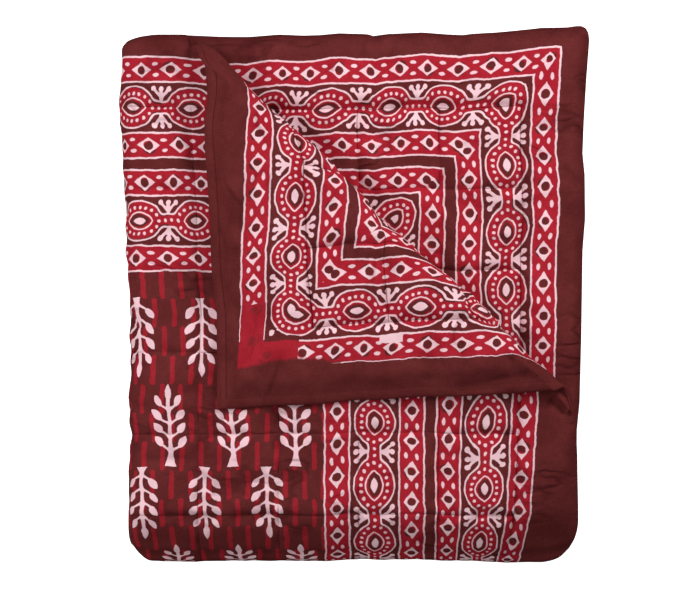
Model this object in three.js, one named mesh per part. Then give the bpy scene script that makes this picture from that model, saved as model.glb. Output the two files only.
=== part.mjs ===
// A quilted comforter, folded in four, with one corner of its top layer turned back.
// Millimetres, +Z up. The origin is the middle of the packet's flat underside.
// +X points to the packet's open side and +Y to its open end.

import * as THREE from 'three';

const { clamp, lerp, smoothstep } = THREE.MathUtils;

// Flat cloth: cut size, and the thickness of one filled layer
const CLOTH_WIDTH = 2260;
const CLOTH_LENGTH = 2795;
const LOFT = 36;
const LAYER_GAP = 4;
const MIDDLE_GAP = 10;
const LAYER_PITCH = LOFT + LAYER_GAP;

// Sewn edge: both cloths come together in a flat seam
const SEAM_WIDTH = 24;
const EDGE_SHARE = 0.5;
const EDGE_TAPER = 50;

// Quilting: stitched squares inside a plain border
const QUILT_COLUMNS = 10;
const QUILT_ROWS = 12;
const SIDE_BORDER = 206;
const END_BORDER = 278;
const CHANNEL_DEPTH = 8;
const CHANNEL_WIDTH = 36;
const COLUMNS_START = { from: 30, to: 110 };

// Side fold on the left, made first
const SIDE_RADIUS = LAYER_PITCH / 2;
const SIDE_BEND = (SIDE_RADIUS + LOFT / 2) * Math.PI / 2;

// End fold at the bottom, made second, round both layers of the side fold
const PACK_RADIUS = LOFT + (LAYER_GAP + MIDDLE_GAP) / 2;
const END_BEND = 104;
const END_SQUASH = 0.5;
const END_HEIGHT_SHARE = 0.48;
const END_SLOPE = { from: -50, to: 60 };
const ROWS_START = 40;

// Turned-back corner: a point on its crease, the crease's direction and the roll there
const CREASE_X = 558.3;
const CREASE_Y = 719.9;
const CREASE_ANGLE = THREE.MathUtils.degToRad(-43.6);
const ROLL_GAP = 26;
const ROLL_RADIUS = (LOFT + ROLL_GAP) / 2;
const ROLL_BEND = (ROLL_RADIUS + LOFT / 2) * Math.PI;
const ROLL_REACH = 0.6;
const ROLL_STEPS = 6;
const LATE_END = { by: 22, from: -620, to: -400 };
const FLAP_GAP = 2;
const FLAP_SETTLES = 500;
const MOUTH = { depth: 38, start: -95, reach: 200 };

// Grid: parts of each border strip, how close two lines may come as a share of a fold's steps,
// the distance at which a corner counts as on a cut, and the size within which two corners are one
const BORDER_PARTS = 4;
const CLOSEST_LINES = 0.7;
const ON_CUT = 2;
const SAME_CORNER = 0.02;

// Open edges: the share of the height left at the very edge, and how the layers rise from it
const OPEN_SIDE = { share: 0.42, run: 72, power: 3.8 };
const OPEN_END = { share: 0.15, run: 76, power: 3.3 };
const OPEN_FLAP = { share: 0.45, run: 90, power: 2.5 };

// The corner where the open side meets the end fold droops: by what share, and its reach along X and Y
const DROOP = { share: 0.42, alongX: 170, alongY: 450 };

// Seen from above, an edge is drawn in: it hangs steeply, then turns over until it lies flat
const DRAWN = {
  side: { hang: 20, flat: 115, steep: 0.2 },
  end: { hang: 66, flat: 160, steep: 0.2 },
  flapSide: { hang: 0, flat: 400, steep: 0.82 },
  flapEnd: { hang: 0, flat: 600, steep: 0.75 },
};

// Rounded corners of the packet: which corner, its reach along X and Y, and how round it is
const CORNERS = [
  { right: false, upper: false, alongX: 50, alongY: 75, round: 0.85 },
  { right: true, upper: false, alongX: 90, alongY: 100, round: 0.95 },
  { right: false, upper: true, alongX: 75, alongY: 60, round: 0.95 },
  { right: true, upper: true, alongX: 40, alongY: 40, round: 0.5 },
];

// Uneven outline: where along an edge, and how far the edge stands out there from a straight line
const LEFT_EDGE = [
  { at: 0.0, out: 13 },
  { at: 0.25, out: 17 },
  { at: 0.47, out: 19 },
  { at: 0.55, out: 11 },
  { at: 0.75, out: 0 },
  { at: 0.82, out: -6 },
  { at: 1.0, out: -6 },
];
const RIGHT_EDGE = [
  { at: 0.0, out: -1 },
  { at: 0.18, out: -9 },
  { at: 0.42, out: 1 },
  { at: 0.64, out: 9 },
  { at: 0.76, out: 5 },
  { at: 0.9, out: 13 },
  { at: 1.0, out: 23 },
];
const BOTTOM_END = [
  { at: 0.0, out: 4 },
  { at: 0.33, out: 6 },
  { at: 0.51, out: 10 },
  { at: 0.72, out: 6 },
  { at: 1.0, out: -4 },
];
const TOP_END = [
  { at: 0.0, out: -9 },
  { at: 0.26, out: -13 },
  { at: 0.46, out: -6 },
  { at: 0.72, out: -9 },
  { at: 0.9, out: 8 },
  { at: 1.0, out: 14 },
];

const HALF_WIDTH = CLOTH_WIDTH / 2;
const HALF_LENGTH = CLOTH_LENGTH / 2;
const FOLD_LEVEL = PACK_RADIUS + SIDE_RADIUS + LOFT / 2;
const TOP_LEVEL = 2 * FOLD_LEVEL;
const COLUMN_PITCH = 2 * (HALF_WIDTH - SIDE_BORDER) / QUILT_COLUMNS;
const ROW_PITCH = 2 * (HALF_LENGTH - END_BORDER) / QUILT_ROWS;
const CREASE_NORMAL = new THREE.Vector2(-Math.sin(CREASE_ANGLE), Math.cos(CREASE_ANGLE));

// The packet's plan before its outline is made uneven
const PLAN = {
  left: -(SIDE_RADIUS + LOFT / 2),
  right: HALF_WIDTH - SIDE_BEND - drawnIn(DRAWN.side, 0),
  bottom: -FOLD_LEVEL * END_SQUASH,
  top: HALF_LENGTH - END_BEND - drawnIn(DRAWN.end, 0),
};

// How far a place on the cloth moves in from where it would lie flat.
function drawnIn({ hang, flat, steep }, fromEdge) {
  const turned = clamp((fromEdge - hang) / (flat - hang), 0, 1);
  const turning = (flat - hang) * (0.5 - turned + turned ** 3 - turned ** 4 / 2);
  return (1 - steep) * (turning + Math.max(hang - fromEdge, 0));
}

// Share of the full height at a distance from an open edge.
function openHeight({ share, run, power }, distance) {
  return lerp(1, share, (1 - clamp(distance / run, 0, 1)) ** power);
}

function standsOut(edge, at) {
  const next = edge.findIndex((row) => row.at >= at);
  if (next === 0) return edge[0].out;
  const [low, high] = [edge[next - 1], edge[next]];
  return lerp(low.out, high.out, (at - low.at) / (high.at - low.at));
}

// Nearness, from 0 to 1, to the closest of a set of stitched lines, which end at the border.
function nearStitches(place, pitch, squares) {
  const line = clamp(Math.round(place / pitch), -squares / 2, squares / 2);
  return 1 - smoothstep(Math.abs(place - line * pitch), 0, CHANNEL_WIDTH);
}

// Depth of the stitched channels at a place on the cloth.
function channelDepth(across, along) {
  const pastFold = smoothstep(Math.abs(across), COLUMNS_START.from, COLUMNS_START.to);
  const nearColumn = nearStitches(across, COLUMN_PITCH, QUILT_COLUMNS) * pastFold;
  const nearRow = nearStitches(along, ROW_PITCH, QUILT_ROWS) * smoothstep(along, ROWS_START, END_BEND);
  const onUpperLayers = smoothstep(along, -END_BEND, 0);
  return CHANNEL_DEPTH * Math.max(nearColumn, nearRow) * onUpperLayers;
}

// Distance past the crease of a place on the top layer, taken along the layer.
// Where the stack thins the roll is smaller, so it starts later and the crease stays straight.
// Towards the open end the crease bends and starts later still.
function pastCrease(place) {
  const x = place.across - SIDE_BEND - CREASE_X;
  const y = place.along - END_BEND - CREASE_Y;
  const run = x * CREASE_NORMAL.y - y * CREASE_NORMAL.x;
  const height = stackHeight(CREASE_X + run * CREASE_NORMAL.y, CREASE_Y - run * CREASE_NORMAL.x);
  const thinned = ROLL_REACH * (ROLL_RADIUS + LOFT / 2) * (1 - height);
  const late = LATE_END.by * (1 - smoothstep(run, LATE_END.from, LATE_END.to));
  return x * CREASE_NORMAL.x + y * CREASE_NORMAL.y - thinned - late;
}

// The cloth's place with its open edges drawn in. Past the crease the flap is drawn in less.
// From a little before the crease and on the roll its side edge is drawn in more, like a mouth.
function drawnCloth(across, along) {
  const fromSide = HALF_WIDTH - Math.abs(across);
  const fromEnd = HALF_LENGTH - Math.abs(along);
  const side = drawnIn(DRAWN.side, fromSide);
  const end = drawnIn(DRAWN.end, fromEnd);
  const place = {
    across: across - Math.sign(across) * side,
    along: along - Math.sign(along) * end,
  };
  if (across < 0 || along < 0) return place;
  const past = pastCrease(place);
  const turned = smoothstep(past, 0, ROLL_BEND);
  const opened = smoothstep(past, MOUTH.start, ROLL_BEND / 2) - smoothstep(past, ROLL_BEND / 2, ROLL_BEND);
  const mouth = MOUTH.depth * opened * (1 - smoothstep(fromSide, 0, MOUTH.reach));
  return {
    across: across - lerp(side, drawnIn(DRAWN.flapSide, fromSide), turned) - mouth,
    along: along - lerp(end, drawnIn(DRAWN.flapEnd, fromEnd), turned),
  };
}

// Share of the full height that the stack keeps at a place in the packet's plan.
function stackHeight(x, y) {
  const openSide = openHeight(OPEN_SIDE, PLAN.right - x);
  const openEnd = openHeight(OPEN_END, PLAN.top - y);
  const fromCorner = Math.hypot((PLAN.right - x) / DROOP.alongX, (y - PLAN.bottom) / DROOP.alongY);
  const drooped = 1 - DROOP.share * (1 - smoothstep(fromCorner, 0, 1));
  const atEndFold = lerp(END_HEIGHT_SHARE, 1, smoothstep(y, END_SLOPE.from, END_SLOPE.to));
  return openSide * openEnd * drooped * atEndFold;
}

// The side fold: two layers, the right side of the cloth outside.
function foldSide(across, rise) {
  const radius = SIDE_RADIUS + rise;
  if (Math.abs(across) >= SIDE_BEND) {
    return { x: Math.abs(across) - SIDE_BEND, height: Math.sign(across) * radius };
  }
  const angle = across / SIDE_BEND * Math.PI / 2;
  return { x: -radius * Math.cos(angle), height: radius * Math.sin(angle) };
}

// The end fold: the pack of two layers bent round to lie on itself, four layers in all.
function foldEnd(along, height) {
  const radius = PACK_RADIUS + height;
  if (Math.abs(along) >= END_BEND) {
    return { y: Math.abs(along) - END_BEND, z: FOLD_LEVEL + Math.sign(along) * radius };
  }
  const angle = along / END_BEND * Math.PI / 2;
  return { y: -radius * Math.cos(angle), z: FOLD_LEVEL + radius * Math.sin(angle) };
}

// Turns the top layer's corner up and back about the crease, and lays it on the layer below.
function turnBack(point, past, ownHeight) {
  const rise = point.z - (TOP_LEVEL - LOFT / 2);
  const angle = Math.min(past / ROLL_BEND, 1) * Math.PI;
  const radius = ROLL_RADIUS - rise;
  const roll = ROLL_REACH * radius * Math.sin(angle) * stackHeight(point.x, point.y);
  const moved = roll - Math.max(past - ROLL_BEND, 0) - past;
  const x = point.x + moved * CREASE_NORMAL.x;
  const y = point.y + moved * CREASE_NORMAL.y;
  const z = point.z - rise + ROLL_RADIUS - radius * Math.cos(angle);
  const base = TOP_LEVEL + ROLL_GAP;
  const above = Math.max(z - base, 0) * ownHeight;
  const settled = (ROLL_GAP - FLAP_GAP) * smoothstep(past, ROLL_BEND, ROLL_BEND + FLAP_SETTLES);
  return { x, y, z: (Math.min(z, base) - settled) * stackHeight(x, y) + above };
}

function roundCorners(point) {
  let { x, y } = point;
  for (const { right, upper, alongX, alongY, round } of CORNERS) {
    const outX = right ? x - (PLAN.right - alongX) : PLAN.left + alongX - x;
    const outY = upper ? y - (PLAN.top - alongY) : PLAN.bottom + alongY - y;
    if (outX <= 0 || outY <= 0) continue;
    const shareX = Math.min(outX / alongX, 1);
    const shareY = Math.min(outY / alongY, 1);
    x -= (right ? 1 : -1) * outX * (1 - Math.sqrt(1 - round * shareY * shareY / 2));
    y -= (upper ? 1 : -1) * outY * (1 - Math.sqrt(1 - round * shareX * shareX / 2));
  }
  return { ...point, x, y };
}

function unevenOutline(point) {
  const alongX = clamp((point.x - PLAN.left) / (PLAN.right - PLAN.left), 0, 1);
  const alongY = clamp((point.y - PLAN.bottom) / (PLAN.top - PLAN.bottom), 0, 1);
  return new THREE.Vector3(
    point.x + lerp(standsOut(LEFT_EDGE, alongY), standsOut(RIGHT_EDGE, alongY), alongX),
    point.y + lerp(standsOut(BOTTOM_END, alongX), standsOut(TOP_END, alongX), alongY),
    point.z);
}

// Where a point of the cloth lies in the folded packet.
// across and along measure from the middle of the flat cloth.
// face is 1 on its right side and -1 on its reverse.
function foldedPoint(across, along, face) {
  const fromEdge = Math.min(HALF_WIDTH - Math.abs(across), HALF_LENGTH - Math.abs(along));
  const share = lerp(EDGE_SHARE, 1, smoothstep(fromEdge, 0, EDGE_TAPER));
  const rise = face * (LOFT / 2 - channelDepth(across, along)) * share;
  const place = drawnCloth(across, along);
  const pack = foldSide(place.across, rise);
  const end = foldEnd(place.along, pack.height);
  let point = { x: pack.x, y: end.y, z: end.z };
  const past = across > 0 && along > 0 ? pastCrease(place) : 0;
  if (past > 0) {
    const ownHeight = openHeight(OPEN_FLAP, HALF_WIDTH - across)
      * openHeight(OPEN_FLAP, HALF_LENGTH - along);
    point = turnBack(point, past, ownHeight);
  } else {
    point.z *= stackHeight(point.x, point.y);
  }
  if (point.y < 0) point.y *= END_SQUASH;
  return unevenOutline(roundCorners(point));
}

// Grid lines over the cloth: parts of the border strips and of each quilted square, the seam lines,
// and closer lines round a fold.
function gridLines({ half, border, pitch, partsBefore, partsAfter, foldReach, foldStep }) {
  const lines = [SEAM_WIDTH - half, half - SEAM_WIDTH];
  const addParts = (start, end, parts) => {
    for (let part = 0; part <= parts; part += 1) lines.push(lerp(start, end, part / parts));
  };
  addParts(-half, border - half, BORDER_PARTS);
  addParts(half - border, half, BORDER_PARTS);
  addParts(-foldReach, foldReach, Math.round(2 * foldReach / foldStep));
  const squares = Math.round(2 * (half - border) / pitch);
  for (let square = 0; square < squares; square += 1) {
    const start = border - half + square * pitch;
    addParts(start, start + pitch, square < squares / 2 ? partsBefore : partsAfter);
  }
  const apart = foldStep * CLOSEST_LINES;
  return lines.sort((a, b) => a - b).filter((line, i, all) => (
    i === 0 || line === half || line - all[i - 1] > apart));
}

// Cuts convex cells of the cloth along a line at one distance past the crease.
function cutCells(cells, distance) {
  const done = [];
  for (const cell of cells) {
    const past = cell.map(([across, along]) => pastCrease(drawnCloth(across, along)) - distance);
    const sides = past.map((value) => (Math.abs(value) < ON_CUT ? 0 : Math.sign(value)));
    const folded = cell.some(([across, along]) => across <= SIDE_BEND || along <= END_BEND);
    if (folded || !sides.includes(1) || !sides.includes(-1)) {
      done.push(cell);
      continue;
    }
    const halves = { 1: [], [-1]: [] };
    cell.forEach((corner, i) => {
      const next = (i + 1) % cell.length;
      if (sides[i] >= 0) halves[1].push(corner);
      if (sides[i] <= 0) halves[-1].push(corner);
      if (sides[i] * sides[next] < 0) {
        const share = past[i] / (past[i] - past[next]);
        const cut = corner.map((value, axis) => lerp(value, cell[next][axis], share));
        halves[1].push(cut);
        halves[-1].push(cut);
      }
    });
    done.push(halves[1], halves[-1]);
  }
  return done;
}

function clothCells() {
  const columns = gridLines({
    half: HALF_WIDTH, border: SIDE_BORDER, pitch: COLUMN_PITCH, partsBefore: 3, partsAfter: 3,
    foldReach: SIDE_BEND, foldStep: SIDE_BEND / 4,
  });
  const rows = gridLines({
    half: HALF_LENGTH, border: END_BORDER, pitch: ROW_PITCH, partsBefore: 1, partsAfter: 3,
    foldReach: END_BEND, foldStep: END_BEND / 6,
  });
  let cells = [];
  for (let i = 1; i < columns.length; i += 1) {
    for (let j = 1; j < rows.length; j += 1) {
      cells.push([
        [columns[i - 1], rows[j - 1]], [columns[i], rows[j - 1]],
        [columns[i], rows[j]], [columns[i - 1], rows[j]],
      ]);
    }
  }
  for (let step = 0; step <= ROLL_STEPS; step += 1) {
    cells = cutCells(cells, step * ROLL_BEND / ROLL_STEPS);
  }
  return cells;
}

// One closed body: the cloth's right side, its reverse and the sewn edge between them.
function comforterGeometry() {
  const places = new Map();
  const corners = [];
  const cornerIndex = ([across, along]) => {
    const key = [across, along].map((value) => Math.round(value / SAME_CORNER)).join();
    if (!places.has(key)) {
      places.set(key, corners.length);
      corners.push([across, along]);
    }
    return places.get(key);
  };
  const cells = clothCells().map((cell) => cell.map(cornerIndex));
  const positions = [];
  for (const face of [1, -1]) {
    for (const [across, along] of corners) positions.push(...foldedPoint(across, along, face).toArray());
  }
  const reverse = corners.length;
  const triangles = [];
  const edges = new Map();
  for (const cell of cells) {
    for (let i = 2; i < cell.length; i += 1) {
      triangles.push(cell[0], cell[i - 1], cell[i]);
      triangles.push(reverse + cell[0], reverse + cell[i], reverse + cell[i - 1]);
    }
    cell.forEach((from, i) => edges.set(`${from},${cell[(i + 1) % cell.length]}`, true));
  }
  for (const edge of edges.keys()) {
    const [from, to] = edge.split(',').map(Number);
    if (edges.has(`${to},${from}`)) continue;
    triangles.push(to, from, reverse + from, to, reverse + from, reverse + to);
  }
  const geometry = new THREE.BufferGeometry();
  geometry.setAttribute('position', new THREE.Float32BufferAttribute(positions, 3));
  geometry.setIndex(triangles);
  geometry.computeBoundingBox();
  const { min, max } = geometry.boundingBox;
  geometry.translate(-(min.x + max.x) / 2, -(min.y + max.y) / 2, -min.z);
  geometry.computeVertexNormals();
  return geometry;
}

const printedCotton = new THREE.MeshStandardMaterial({ color: 0x5e2426, roughness: 0.9, metalness: 0 });

const comforter = new THREE.Mesh(comforterGeometry(), printedCotton);
comforter.name = 'comforter';

const part = new THREE.Group();
part.add(comforter);

export default part;
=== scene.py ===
"""Looks of a quilted comforter with a block-printed cover, folded in four.

Metres, +Z up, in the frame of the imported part. Each face of the cloth is one grid, bent by the
same folds as the solid. The print and the stitching follow the cloth.
"""
from collections import namedtuple
from math import pi, radians

import bpy
import numpy as np
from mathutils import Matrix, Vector


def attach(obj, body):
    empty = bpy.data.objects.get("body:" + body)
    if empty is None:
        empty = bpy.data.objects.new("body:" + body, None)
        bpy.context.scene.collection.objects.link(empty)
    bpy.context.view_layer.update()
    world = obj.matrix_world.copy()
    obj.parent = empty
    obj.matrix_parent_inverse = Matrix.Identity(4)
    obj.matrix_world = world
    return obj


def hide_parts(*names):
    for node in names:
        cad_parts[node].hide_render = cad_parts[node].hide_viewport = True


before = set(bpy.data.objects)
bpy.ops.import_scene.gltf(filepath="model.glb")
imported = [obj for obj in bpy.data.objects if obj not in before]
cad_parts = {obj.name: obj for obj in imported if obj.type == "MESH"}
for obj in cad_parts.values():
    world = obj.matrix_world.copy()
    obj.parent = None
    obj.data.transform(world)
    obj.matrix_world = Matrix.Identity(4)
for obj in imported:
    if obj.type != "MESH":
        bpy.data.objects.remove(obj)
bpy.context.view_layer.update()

# Camera straight above, and the scale of its picture on the floor
CAMERA_HEIGHT = 3.6
CAMERA_PLACE = (-0.0167, -0.0200)
PICTURE_WIDTH = 1.6485
SENSOR_WIDTH = 36.0

# Flat cloth: cut size and the thickness of one filled layer
CLOTH_WIDTH = 2.260
CLOTH_LENGTH = 2.795
LOFT = 0.036
LAYER_GAP = 0.004
MIDDLE_GAP = 0.010
LAYER_PITCH = LOFT + LAYER_GAP
HALF_WIDTH = CLOTH_WIDTH / 2
HALF_LENGTH = CLOTH_LENGTH / 2
HALF_LOFT = LOFT / 2

# Side fold on the left, and the end fold at the bottom round both its layers
SIDE_RADIUS = LAYER_PITCH / 2
SIDE_BEND = (SIDE_RADIUS + HALF_LOFT) * pi / 2
PACK_RADIUS = LOFT + (LAYER_GAP + MIDDLE_GAP) / 2
END_BEND = 0.104
END_SQUASH = 0.5
END_HEIGHT_SHARE = 0.48
END_SLOPE = (-0.050, 0.100)
FOLD_LEVEL = PACK_RADIUS + SIDE_RADIUS + HALF_LOFT
TOP_LEVEL = 2 * FOLD_LEVEL

# Drooping lower right corner: the share of the height that it loses, and how far its cloth is drawn left
DROOP = 0.74
DROOP_REACH = (0.200, 0.360)
DROOP_POWER = 1.5
DROOP_PULL = 0.034
DROOP_PULL_REACH = 0.340
DROOP_PULL_FROM, DROOP_PULL_MOST = 0.380, 0.100

# Turned-back corner: a point on its crease, the crease's direction and the roll there
CREASE_POINT = (0.5583, 0.7199)
CREASE_ANGLE = radians(-43.6)
CREASE_RUN = (np.cos(CREASE_ANGLE), np.sin(CREASE_ANGLE))
CREASE_NORMAL = (-np.sin(CREASE_ANGLE), np.cos(CREASE_ANGLE))
ROLL_GAP = 0.026
ROLL_RADIUS = (LOFT + ROLL_GAP) / 2
ROLL_BEND = (ROLL_RADIUS + HALF_LOFT) * pi
ROLL_REACH = 0.60
LATE_END = 0.026
LATE_FROM, LATE_TO = -0.660, -0.420
MOUTH_DEPTH = 0.038
MOUTH_START = -0.095
MOUTH_MIDDLE = ROLL_BEND / 2
MOUTH_REACH = 0.200
FLAP_GAP = 0.002
FLAP_SETTLES = 0.380
FLAP_PULL = (-0.018, -0.005)
FLAP_PULL_REACH = 0.50
FLAP_PULL_BEND = (ROLL_BEND / 2, ROLL_BEND * 1.3)
TIP_PULL = -0.020
TIP_PULL_FROM, TIP_PULL_TO = -0.570, -0.480
TIP_PULL_BEND = (ROLL_BEND / 3, ROLL_BEND)

# The turned edge is uneven: places along the crease, and how far the roll stands out there
ROLL_AT = (-0.595, -0.529, -0.435, -0.382, -0.315, -0.224, -0.122, -0.062, -0.010, 0.056, 0.094, 0.156,
           0.223, 0.294, 0.359, 0.423, 0.463, 0.512, 0.560)
ROLL_OUT = (0.004, 0.004, 0.002, 0.0015, 0.0085, 0.007, -0.004, -0.011, -0.0155, -0.010, -0.011, -0.004,
            0.004, 0.001, -0.003, -0.007, -0.005, 0.008, 0.034)

# Open edges: the share of the height left at the very edge, and how the layers rise from it
Opening = namedtuple("Opening", "share run power")
OPEN_SIDE = Opening(0.42, 0.050, 3.0)
OPEN_END = Opening(0.15, 0.076, 3.3)
OPEN_FLAP = Opening(0.45, 0.090, 2.5)

# Seen from above, an edge is drawn in: it hangs steeply, then turns over until it lies flat
Drawing = namedtuple("Drawing", "hang flat steep")
DRAWN_SIDE = Drawing(0.020, 0.115, 0.20)
DRAWN_END = Drawing(0.066, 0.160, 0.20)
DRAWN_FLAP_SIDE = Drawing(0.0, 0.400, 0.82)
DRAWN_FLAP_END = Drawing(0.0, 0.600, 0.75)

# Rounded corners of the packet: which corner, its reach along X and Y, and how round it is
Corner = namedtuple("Corner", "right upper along_x along_y round")
CORNERS = (
    Corner(-1, -1, 0.050, 0.075, 0.85),
    Corner(1, -1, 0.090, 0.100, 0.95),
    Corner(-1, 1, 0.075, 0.060, 0.95),
    Corner(1, 1, 0.040, 0.040, 0.5),
)

# Uneven outline: how far the long edges and the ends stand out from straight lines
LEFT_AT = (0.0, 0.10, 0.25, 0.30, 0.37, 0.47, 0.55, 0.63, 0.75, 0.82, 0.90, 1.0)
LEFT_EDGE = (0.013, 0.013, 0.018, 0.012, 0.017, 0.021, 0.010, 0.008, 0.0, -0.007, -0.002, -0.007)
RIGHT_AT = (0.0, 0.06, 0.18, 0.25, 0.30, 0.42, 0.58, 0.64, 0.72, 0.76, 0.82, 0.90, 1.0)
RIGHT_EDGE = (0.0, -0.003, -0.009, -0.009, -0.003, 0.001, 0.004, 0.010, 0.009, 0.004, 0.007, 0.013, 0.023)
BOTTOM_AT = (0.0, 0.20, 0.33, 0.43, 0.51, 0.56, 0.64, 0.72, 0.85, 1.0)
BOTTOM_END = (0.004, 0.005, 0.007, 0.004, 0.011, 0.008, 0.009, 0.006, 0.001, -0.004)
TOP_AT = (0.0, 0.12, 0.20, 0.26, 0.33, 0.40, 0.46, 0.52, 0.54, 0.56,
          0.64, 0.72, 0.75, 0.80, 0.85, 0.90, 0.95, 0.985, 1.0)
TOP_END = (-0.009, -0.009, -0.013, -0.014, -0.008, -0.011, -0.005, -0.007, -0.013, -0.007,
           -0.003, -0.010, -0.006, -0.003, 0.002, 0.008, 0.008, 0.015, 0.013)

# Quilting: stitched squares inside a plain border. Waves are how many sines, and their seed
QUILT_COLUMNS = 10
QUILT_ROWS = 12
SIDE_BORDER = 0.206
END_BORDER = 0.278
COLUMN_PITCH = 2 * (HALF_WIDTH - SIDE_BORDER) / QUILT_COLUMNS
ROW_PITCH = 2 * (HALF_LENGTH - END_BORDER) / QUILT_ROWS
CHANNEL_DEPTH = 0.008
CHANNEL_WIDTH = 0.014
STITCH_DEPTH = 0.004
STITCH_WIDTH = 0.004
PULL_LENGTH = 0.130
PULL_WAVES = (5, 17)
PULL_MEAN, PULL_UNEVEN = 0.6, 0.4
PULL_LEAST, PULL_MOST = 0.1, 1.4
OUTER_PULL = 1.0
OUTER_COLUMN = COLUMN_PITCH * (QUILT_COLUMNS / 2 - 0.5)
OUTER_ROW = ROW_PITCH * (QUILT_ROWS / 2 - 0.5)
PUCKER_HEIGHT = 0.0024
PUCKER_LENGTH = 0.036
PUCKER_REACH = 0.045
PUCKER_WAVES = (5, 11)
FOLD_PUCKER = 0.0013
FOLD_PUCKER_LENGTH = 0.055
FOLD_PUCKER_REACH = 0.070
FOLD_PUCKER_WAVES = (6, 29)
SIDE_FADE = (0.03, 0.11)
END_FADE = (0.04, 0.14)

# Sewn hem: a thin flange, a stitched groove, then the filling
HEM_WIDTH = 0.029
HEM_HALF_THICKNESS = 0.007
HEM_ROUNDING = 0.008
HEM_LIP = 0.04
HEM_GROOVE = 0.004
SIDE_GROOVE_SHARE = 0.3
HEM_GROOVE_WIDTH = 0.004
HEM_SWELL = 0.080
HEM_FADE = (0.01, 0.08)
THINNEST = 0.0015

# Slack in the filled layers: height and length of its waves, broad ones and small crumples
WAVE_SPREAD = (0.7, 1.5)
SLACK_HEIGHT = 0.0026
SLACK_LENGTH = 0.140
SLACK_WAVES, SLACK_SEED = 7, 23
CRUMPLE_HEIGHT = 0.0009
CRUMPLE_LENGTH = 0.050
CRUMPLE_WAVES, CRUMPLE_SEED = 9, 37

# Middle of the packet's footprint, from where its side fold and end fold start
PACKET_MIDDLE = (0.49583, 0.58660, 0.0)

# Grid spans of each face: start, end and step along the cloth
RIGHT_SIDE_COLUMNS = ((-1.130, -1.070, 0.012), (-1.070, -0.060, 0.042), (-0.060, 1.070, 0.0085),
                      (1.070, 1.130, 0.005))
RIGHT_SIDE_ROWS = ((-1.3975, -1.330, 0.014), (-1.330, -0.104, 0.045), (-0.104, 1.330, 0.0085),
                   (1.330, 1.3975, 0.0065))
REVERSE_COLUMNS = ((-1.130, -1.070, 0.005), (-1.070, -0.120, 0.0095), (-0.120, 0.120, 0.030),
                   (0.120, 1.070, 0.0095), (1.070, 1.130, 0.005))
REVERSE_ROWS = ((-1.3975, -1.330, 0.014), (-1.330, 0.250, 0.045), (0.250, 1.330, 0.0095),
                (1.330, 1.3975, 0.0065))
FINE_STEP = 0.010
BESIDE_STITCHES = (-0.008, -0.004, 0.0, 0.004, 0.008)
CLOSEST_LINES = 0.0035

# Creases seen from above: the surface, both ends in the packet's plan, half width and depth
CREASE_FADE = 0.2
Crease = namedtuple("Crease", "surface x0 y0 x1 y1 width depth")
CREASES = (
    Crease("under", -0.251, 0.588, -0.244, 0.528, 0.009, 0.010),
    Crease("under", -0.203, 0.588, -0.217, 0.535, 0.009, 0.011),
    Crease("under", 0.009, 0.592, 0.005, 0.525, 0.009, 0.010),
    Crease("under", 0.077, 0.590, 0.073, 0.520, 0.009, 0.009),
    Crease("under", 0.239, 0.590, 0.235, 0.520, 0.009, 0.009),
    Crease("under", -0.035, 0.426, 0.345, 0.434, 0.008, 0.009),
    Crease("under", 0.369, 0.310, 0.367, -0.090, 0.008, 0.008),
    Crease("under", 0.465, 0.385, 0.515, 0.372, 0.010, 0.010),
    Crease("under", 0.463, 0.290, 0.511, 0.240, 0.010, 0.011),
    Crease("flap", 0.155, -0.120, 0.160, -0.205, 0.010, 0.010),
    Crease("flap", 0.337, -0.128, 0.349, -0.182, 0.010, 0.010),
    Crease("flap", 0.285, -0.204, 0.415, -0.170, 0.010, 0.011),
    Crease("flap", 0.205, -0.214, 0.325, -0.203, 0.010, 0.009),
    Crease("flap", -0.273, 0.070, -0.263, -0.120, 0.012, 0.008),
    Crease("top", -0.338, 0.700, -0.308, -0.160, 0.060, 0.020),
    Crease("top", -0.372, 0.590, -0.371, 0.520, 0.012, 0.012),
    Crease("top", -0.435, 0.540, -0.385, 0.478, 0.014, 0.007),
    Crease("top", -0.415, 0.455, -0.340, 0.350, 0.022, 0.008),
    Crease("top", -0.455, 0.232, -0.345, 0.218, 0.014, 0.006),
    Crease("top", -0.531, -0.068, -0.485, -0.076, 0.010, 0.010),
    Crease("top", -0.525, -0.252, -0.475, -0.258, 0.010, 0.008),
    Crease("top", -0.180, -0.245, -0.181, -0.380, 0.010, 0.007),
    Crease("top", -0.395, -0.283, -0.315, -0.286, 0.012, 0.006),
    Crease("top", -0.495, -0.376, -0.335, -0.380, 0.012, 0.006),
    Crease("top", -0.445, -0.505, -0.105, -0.512, 0.014, 0.007),
    Crease("top", 0.427, -0.236, 0.473, -0.262, 0.012, 0.016),
    Crease("top", 0.465, -0.250, 0.491, -0.310, 0.012, 0.014),
)

# Bands of the print, in from each face's outer line at the side and at the end
PRINT_LINES = {1.0: (0.962, 1.231), -1.0: (1.0035, 1.238)}
SKEW_UNDER, SKEW_UNDER_AT = 0.027, 0.763
SKEW_FLAP, SKEW_FLAP_AT = 0.1025, 0.633
SKEW_BLEND = (-0.2, 0.2)
EYE_WIDTH = 0.057
CHAIN_WIDTH = 0.115
STRIPE_WIDTH = 0.028
BANDS_MIDDLE = 2 * EYE_WIDTH + CHAIN_WIDTH + STRIPE_WIDTH / 2
CHAIN_MIDDLE = STRIPE_WIDTH / 2 + EYE_WIDTH + CHAIN_WIDTH / 2
EYE_MIDDLE = (CHAIN_WIDTH + EYE_WIDTH) / 2
CHAIN_FIRST = EYE_WIDTH + CHAIN_WIDTH / 2
EDGE_LINE = 0.0042
SIDE_REPEAT = 0.144
END_REPEAT = 0.132
PRINT_SOFTNESS = 0.0010
PRINT_WANDER, WANDER_NOISE = 0.012, (22.0, 3.0)
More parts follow.
